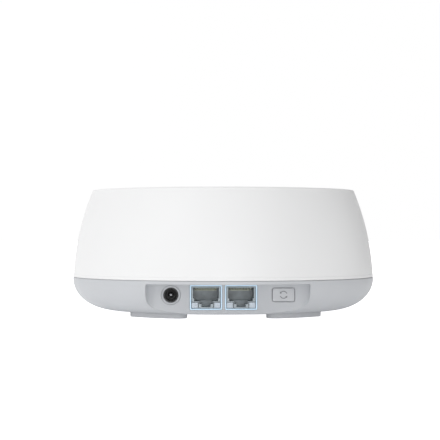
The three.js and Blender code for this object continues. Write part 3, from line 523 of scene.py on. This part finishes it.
def base_flank(inset, steps):
    reach = BASE_TURN - inset
    top = SEAM_Z - BASE_RIM_HEIGHT
    height = top - UNDERSIDE_Z - inset
    turns = [math.pi / 2 * i / steps for i in range(steps + 1)]
    flat = CASE_RADIUS - BASE_TURN
    return [(flat + reach * math.sin(t), top - height * math.cos(t)) for t in turns]


def recess_block(name, wall, low, high):
    """The port recess as a solid, grown by a wall, with its inner corners rounded."""
    back = PANEL_Y - 2 * PANEL_SETBACK
    ceiling = RECESS_CEILING_FILLET

    def loop(inset, z):
        front = PANEL_Y + wall - inset
        side = RECESS_HALF_WIDTH + wall - inset
        fillet = RECESS_FILLET + wall - inset
        right = arc(side - fillet, front - fillet, fillet, 0, 90, 10)
        left = arc(fillet - side, front - fillet, fillet, 90, 180, 10)
        return on_floor([(-side, back), (side, back)] + right + left, z)

    rounding = [loop(ceiling - r, high - ceiling + z) for r, z in arc(0, 0, ceiling, 0, 90, 6)]
    return loft(name, [loop(0, low)] + rounding)


def wall_cut(name, x, z, width, height, corner, lead_in=0.18 * MM):
    """A tool that opens the panel, with a small bevel at its face."""
    def loop(y, grow):
        return on_wall(rounded_rectangle(x, z, width + 2 * grow, height + 2 * grow, corner + grow), y)

    return loft(name, [
        loop(PANEL_Y - SPILL, lead_in),
        loop(PANEL_Y, lead_in),
        loop(PANEL_Y + lead_in, 0),
        loop(PANEL_Y + PANEL_WALL + SPILL, 0),
    ])


def button_cap():
    """Middle and size, across and up, of the button's face, without its flange."""
    x, z = (BUTTON_LOW.x + BUTTON_HIGH.x) / 2, (BUTTON_LOW.z + BUTTON_HIGH.z) / 2
    width, height = BUTTON_HIGH.x - BUTTON_LOW.x, BUTTON_HIGH.z - BUTTON_LOW.z
    return x, z, width - 2 * BUTTON_FLANGE, height - 2 * BUTTON_FLANGE


def foot_outline(grow, steps=24):
    half = FOOT_SPAN_ANGLE / 2
    width = FOOT_WIDTH / 2 + grow
    end_x = FOOT_RADIUS * math.cos(math.radians(-90 + half))
    end_y = FOOT_RADIUS * math.sin(math.radians(-90 + half))
    return (
        arc(0, 0, FOOT_RADIUS + width, -90 - half, -90 + half, steps)
        + arc(end_x, end_y, width, -90 + half, 90 + half, 12)[1:-1]
        + arc(0, 0, FOOT_RADIUS - width, -90 + half, -90 - half, steps)
        + arc(-end_x, end_y, width, 90 - half, 270 - half, 12)[1:-1]
    )


def turned(obj, angle):
    obj.data.transform(Matrix.Rotation(math.radians(angle), 4, "Z"))
    return obj


def base_columns():
    """Screw sleeves, board standoffs and the guide of the reset pinhole."""
    foot = UNDERSIDE_Z + WALL - COLUMN_BITE
    sleeves = [column("sleeve", at, foot, POST_JOINT_Z, SLEEVE_RADIUS) for at in CASE_SCREWS]
    standoffs = [column("standoff", at, foot, BOARD_Z - GAP, STANDOFF_RADIUS) for at in BOARD_SCREWS]
    guide = column("guide", RESET, foot, PINHOLE_TUBE_TOP, PINHOLE_TUBE_RADIUS)
    return cluster("columns", sleeves + standoffs + [guide])


def base_bores():
    """Everything sunk into the underside or the columns: screw holes, pinhole, vents and the label's bed."""
    stations = [
        (BELOW, CASE_SCREW_HEAD_BORE),
        (SEAT_Z, CASE_SCREW_HEAD_BORE),
        (SEAT_Z, CASE_SCREW_BORE),
        (POST_JOINT_Z + 1 * MM, CASE_SCREW_BORE),
    ]
    screws = [upright("screw_bore", at, stations) for at in CASE_SCREWS]
    pilots = [column("pilot", at, at.z - PILOT_DEPTH, BOARD_Z, BOARD_SCREW_BORE) for at in BOARD_SCREWS]
    pinhole = column("pinhole", RESET, BELOW, PINHOLE_TUBE_TOP + 1 * MM, PINHOLE_RADIUS)
    first = -VENT_PITCH * (VENT_COUNT - 1) / 2
    vents = []
    for i in range(VENT_COUNT):
        x = first + i * VENT_PITCH
        outline = rounded_rectangle(x, VENT_Y, VENT_WIDTH, VENT_LENGTH, VENT_CORNER)
        vents.append(loft("vent", [on_floor(outline, BELOW), on_floor(outline, UNDERSIDE_Z + 2 * WALL)]))
    middle, size = middle_and_size("rating_label")
    width, depth = size.x + LABEL_BED_GROWTH, size.y + LABEL_BED_GROWTH
    outline = rounded_rectangle(middle.x, middle.y, width, depth, LABEL_BED_CORNER)
    bed_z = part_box("rating_label")[1].z + GAP
    bed = loft("label_bed", [on_floor(outline, BELOW), on_floor(outline, bed_z)])
    return cluster("bores", screws + pilots + [pinhole, bed] + vents)


def make_bowl():
    """The base as a bare bowl with the tongue that the shell slides over."""
    rim = SEAM_Z - SEAM_LINE / 2
    tongue = CASE_RADIUS - SHELL_INSET - WALL - TONGUE_GAP
    outside = base_flank(0, 36) + [(CASE_RADIUS, rim - SEAM_CHAMFER), (CASE_RADIUS - SEAM_CHAMFER, rim)]
    lip = [
        (tongue, rim),
        (tongue, SEAM_Z + TONGUE_HEIGHT),
        (tongue - TONGUE_WALL, SEAM_Z + TONGUE_HEIGHT),
        (tongue - TONGUE_WALL, SEAM_Z - TONGUE_ROOT),
    ]
    inside = [(r, z) for r, z in reversed(base_flank(WALL, 18)) if r < tongue - TONGUE_WALL]
    profile = [(0, UNDERSIDE_Z)] + outside + lip + inside + [(0, UNDERSIDE_Z + WALL)]
    return lathe("base_housing_fine", profile)


def add_recess(bowl):
    """Gives the bowl the port recess, with a wall behind it that stays inside the bowl's outline."""
    top = SEAM_Z - SEAM_LINE / 2 - LINING_DROP
    profile = [(0, UNDERSIDE_Z + LINING_INSET)] + base_flank(LINING_INSET, 18)
    core = lathe("core", profile + [(CASE_RADIUS - LINING_INSET, top), (0, top)], LINING_STEPS)
    block = recess_block("lining", PANEL_WALL, -RECESS_REACH, SEAM_Z + 5 * MM)
    combine(bowl, combine(core, block, "INTERSECT"), "UNION")
    combine(bowl, recess_block("recess", 0, -RECESS_REACH, RECESS_TOP))


def cut_power_hole(bowl):
    """The round hole of the DC inlet, and the fine line pressed into the panel round it."""
    middle = (PIN_LOW + PIN_HIGH) / 2
    at_panel = (middle.x, PANEL_Y, middle.z)
    lip_start, lip_end = POWER_LIP_DEPTHS
    combine(bowl, rod("power_hole", "Y", at_panel, [
        (-SPILL, POWER_LIP_RADIUS),
        (lip_start, POWER_LIP_RADIUS),
        (lip_end, POWER_HOLE_RADIUS),
        (PANEL_WALL + SPILL, POWER_HOLE_RADIUS),
    ], POWER_STEPS))
    inner, outer = POWER_GROOVE
    section = [(inner, -1 * MM), (outer, -1 * MM), (outer, POWER_GROOVE_DEPTH), (inner, POWER_GROOVE_DEPTH)]
    groove = lathe("power_groove", section, POWER_STEPS)
    groove.data.transform(Matrix.Translation(at_panel) @ AXIS_TURNS["Y"])
    combine(bowl, groove)


def make_base():
    bowl = make_bowl()
    add_recess(bowl)
    for side in PORT_BOXES:
        middle, size = middle_and_size(f"port_frame_{side}")
        width, height = size.x + 2 * FRAME_CLEARANCE, size.z + 2 * FRAME_CLEARANCE
        combine(bowl, wall_cut(f"port_{side}", middle.x, middle.z, width, height, FRAME_HOLE_CORNER))
    x, z, width, height = button_cap()
    grow = 2 * BUTTON_LINE
    corner = BUTTON_HOLE_CORNER + BUTTON_LINE
    combine(bowl, wall_cut("button_hole", x, z, width + grow, height + grow, corner))
    cut_power_hole(bowl)

    outline = foot_outline(FOOT_POCKET_GAP)
    for name, angle in FOOT_PLACES.items():
        rows = [on_floor(outline, BELOW), on_floor(outline, UNDERSIDE_Z + FOOT_POCKET_DEPTH)]
        combine(bowl, turned(loft(f"pocket_{name}", rows), angle))
    combine(bowl, base_columns(), "UNION")
    combine(bowl, base_bores())
    smooth(bowl, 30)
    stand_in(bowl, "base_housing")


def make_feet():
    for name, angle in FOOT_PLACES.items():
        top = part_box(f"foot_{name}")[1].z
        rows = [on_floor(foot_outline(grow), z) for z, grow in (*FOOT_ROWS, (top, 0))]
        foot = loft(f"foot_{name}_fine", rows)
        smooth(turned(foot, angle), 40)
        stand_in(foot, f"foot_{name}")


# ---- Ports and button ---------------------------------------------------------------------------------


def make_port_frames():
    for side, (low, high) in PORT_BOXES.items():
        middle, size = middle_and_size(f"port_frame_{side}")

        def loop(inset, y, corner):
            width, height = size.x - 2 * inset, size.z - 2 * inset
            return on_wall(rounded_rectangle(middle.x, middle.z, width, height, corner), y)

        trim = loft(f"port_frame_{side}_fine", [
            loop(0, high.y, 0.6 * MM),
            loop(0, low.y + FRAME_EDGE, 0.6 * MM),
            loop(FRAME_EDGE, low.y, 0.5 * MM),
            loop(FRAME_LINE - FRAME_EDGE, low.y, 0.3 * MM),
            loop(FRAME_LINE, low.y + FRAME_EDGE, 0.25 * MM),
            loop(FRAME_LINE, high.y, 0.25 * MM),
        ], ring=True)
        smooth(trim, 40)
        stand_in(trim, f"port_frame_{side}")


def make_button():
    x, z, width, height = button_cap()
    face = BUTTON_LOW.y
    flange = PANEL_Y + PANEL_WALL + GAP

    def loop(inset, y):
        corner = BUTTON_CORNER - inset / 2
        return on_wall(rounded_rectangle(x, z, width - 2 * inset, height - 2 * inset, corner, 8), y)

    button = loft("pairing_button_fine", [loop(inset, face + depth) for inset, depth in BUTTON_EDGE] + [
        loop(0, flange),
        loop(-BUTTON_FLANGE, flange),
        loop(-BUTTON_FLANGE, flange + BUTTON_FLANGE),
        loop(BUTTON_SHANK_INSET, flange + BUTTON_FLANGE),
        loop(BUTTON_SHANK_INSET, BUTTON_HIGH.y),
    ])
    smooth(button, 35)
    stand_in(button, "pairing_button", "pairing_button")

    for index, start in enumerate(MARK_STARTS):
        outline = arrow_outline(x, z, start)
        rows = [on_wall(outline, face - MARK_PROUD), on_wall(outline, face + MARK_SUNK)]
        mark = loft(f"pairing_mark_{index + 1}", rows)
        paint(mark, "mark_grey")
        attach(mark, "pairing_button")


def arrow_outline(x, z, start):
    """A curved arrow round a middle, from an angle in degrees."""
    end = start + MARK_SWEEP
    outer = arc(x, z, MARK_RADIUS + MARK_LINE / 2, start, end, 14)
    inner = arc(x, z, MARK_RADIUS - MARK_LINE / 2, end, start, 14)
    tip = math.radians(end)

    def beside(out, along):
        reach = MARK_RADIUS + MARK_LINE * out
        ahead = MARK_LINE * along
        return (
            x + reach * math.cos(tip) - ahead * math.sin(tip),
            z + reach * math.sin(tip) + ahead * math.cos(tip),
        )

    return outer + [beside(1.5, 0), beside(0, 2.4), beside(-1.5, 0)] + inner


def make_power_pin():
    """The centre pin, with a domed tip."""
    middle, radius = (PIN_LOW + PIN_HIGH) / 2, (PIN_HIGH.x - PIN_LOW.x) / 2
    dome = [(radius - z, r) for r, z in arc(0, 0, radius, 0, 85, 8)][::-1]
    stations = dome + [(PIN_HIGH.y - PIN_LOW.y, radius)]
    pin = rod("power_pin_fine", "Y", (middle.x, PIN_LOW.y, middle.z), stations)
    smooth(pin, 60)
    stand_in(pin, "power_pin")


# rounding in millimetres of the nodes whose names start so
SOFT_EDGES = {"lan_jack": 0.12, "power_jack": 0.15, "light": 0.1, "lan_shield": 0.08, "radio_shield": 0.25}


def soften_small_pieces():
    """Real moulded and pressed pieces have no knife edges."""
    for name, obj in frame["nodes"].items():
        for start, radius in SOFT_EDGES.items():
            if name.startswith(start) and name != "light_pipe":
                round_edges(obj, radius * MM, 2, 40)


# ---- Stage --------------------------------------------------------------------------------------------


FLOOR_REACH = 6
FLOOR_GLOW = 0.3
WORLD_FALL = ((-1, 0.8), (-0.5, 1), (0.1, 0.95), (0.75, 0.12), (1, 0.9))  # brightness by direction along X
WORLD_STRENGTH = 1.05
FILL_POWER = 0.45
KEY_POWER = 2.2


def white_to_camera(tree, strength):
    """A light strength that the camera always sees as full white."""
    path = tree.nodes.new("ShaderNodeLightPath")
    brightest = tree.nodes.new("ShaderNodeMath")
    brightest.operation = "MAXIMUM"
    tree.links.new(path.outputs["Is Camera Ray"], brightest.inputs[0])
    if isinstance(strength, float):
        brightest.inputs[1].default_value = strength
    else:
        tree.links.new(strength, brightest.inputs[1])
    return brightest.outputs["Value"]


def make_stage():
    bm = bmesh.new()
    corners = ((-1, -1), (1, -1), (1, 1), (-1, 1))
    bm.faces.new([bm.verts.new((x * FLOOR_REACH, y * FLOOR_REACH, 0)) for x, y in corners])
    floor = from_bmesh("floor", bm)
    material = surface("pale_floor", (0.93, 0.93, 0.93), 0.7, grain=(3, 0.01), cloud=(400, 0.002))
    tree = material.node_tree
    shader = tree.nodes["Principled BSDF"]
    shader.inputs["Emission Color"].default_value = (1, 1, 1, 1)
    tree.links.new(white_to_camera(tree, FLOOR_GLOW), shader.inputs["Emission Strength"])
    floor.data.materials.append(material)


def add_area_light(name, place, size, power, target=(0, 0, 0.03)):
    light = bpy.data.lights.new(name, "AREA")
    light.shape = "RECTANGLE"
    light.size, light.size_y = size
    light.energy = power
    obj = new_object(name, light)
    obj.location = place
    obj.rotation_euler = (Vector(target) - Vector(place)).to_track_quat("-Z", "Y").to_euler()


def make_world():
    """A studio whose brightness changes from side to side."""
    world = bpy.data.worlds.new("studio")
    bpy.context.scene.world = world
    world.use_nodes = True
    tree = world.node_tree
    background = tree.nodes["Background"]
    background.inputs["Color"].default_value = (1, 1, 1, 1)
    direction = tree.nodes.new("ShaderNodeTexCoord")
    split = tree.nodes.new("ShaderNodeSeparateXYZ")
    along = tree.nodes.new("ShaderNodeMapRange")
    along.inputs["From Min"].default_value = -1
    along.inputs["From Max"].default_value = 1
    fall = tree.nodes.new("ShaderNodeValToRGB")
    ramp = fall.color_ramp
    ramp.interpolation = "EASE"
    while len(ramp.elements) < len(WORLD_FALL):
        ramp.elements.new(0.5)
    for element, (place, level) in zip(ramp.elements, WORLD_FALL):
        element.position = (place + 1) / 2
        element.color = (level, level, level, 1)
    scale = tree.nodes.new("ShaderNodeMath")
    scale.operation = "MULTIPLY"
    scale.inputs[1].default_value = WORLD_STRENGTH
    tree.links.new(direction.outputs["Generated"], split.inputs["Vector"])
    tree.links.new(split.outputs["X"], along.inputs["Value"])
    tree.links.new(along.outputs["Result"], fall.inputs["Fac"])
    tree.links.new(fall.outputs["Color"], scale.inputs[0])
    tree.links.new(white_to_camera(tree, scale.outputs["Value"]), background.inputs["Strength"])


def make_lights():
    make_world()
    add_area_light("key", (-0.9, -0.9, 0.9), (0.9, 0.9), KEY_POWER)
    add_area_light("fill", (0.03, -0.6, 0.03), (0.3, 0.12), FILL_POWER, (0, -0.06, 0.01))
    bpy.context.scene.view_settings.view_transform = "Standard"


CAMERA_DISTANCE = 0.7
CAMERA_HEIGHT = 39.5 * MM
CAMERA_AZIMUTH = -2
AIM_HEIGHT = 45.8 * MM
AIM_LEFT = 1.56 * MM
CAMERA_LENS = 115.36
CAMERA_SENSOR = 36


def make_camera():
    angle = math.radians(CAMERA_AZIMUTH)
    right = Vector((math.cos(angle), math.sin(angle), 0))
    place = Vector((math.sin(angle), -math.cos(angle), 0)) * CAMERA_DISTANCE
    camera_data = bpy.data.cameras.new("camera")
    camera_data.lens = CAMERA_LENS
    camera_data.sensor_width = CAMERA_SENSOR
    camera = new_object("camera", camera_data)
    camera.location = place + Vector((0, 0, CAMERA_HEIGHT))
    aim = Vector((0, 0, AIM_HEIGHT)) - right * AIM_LEFT
    camera.rotation_euler = (aim - camera.location).to_track_quat("-Z", "Y").to_euler()
    bpy.context.scene.camera = camera


make_camera()
paint_cad_nodes()
soften_small_pieces()
make_shell()
make_base()
make_feet()
make_port_frames()
make_button()
make_power_pin()
make_stage()
make_lights()
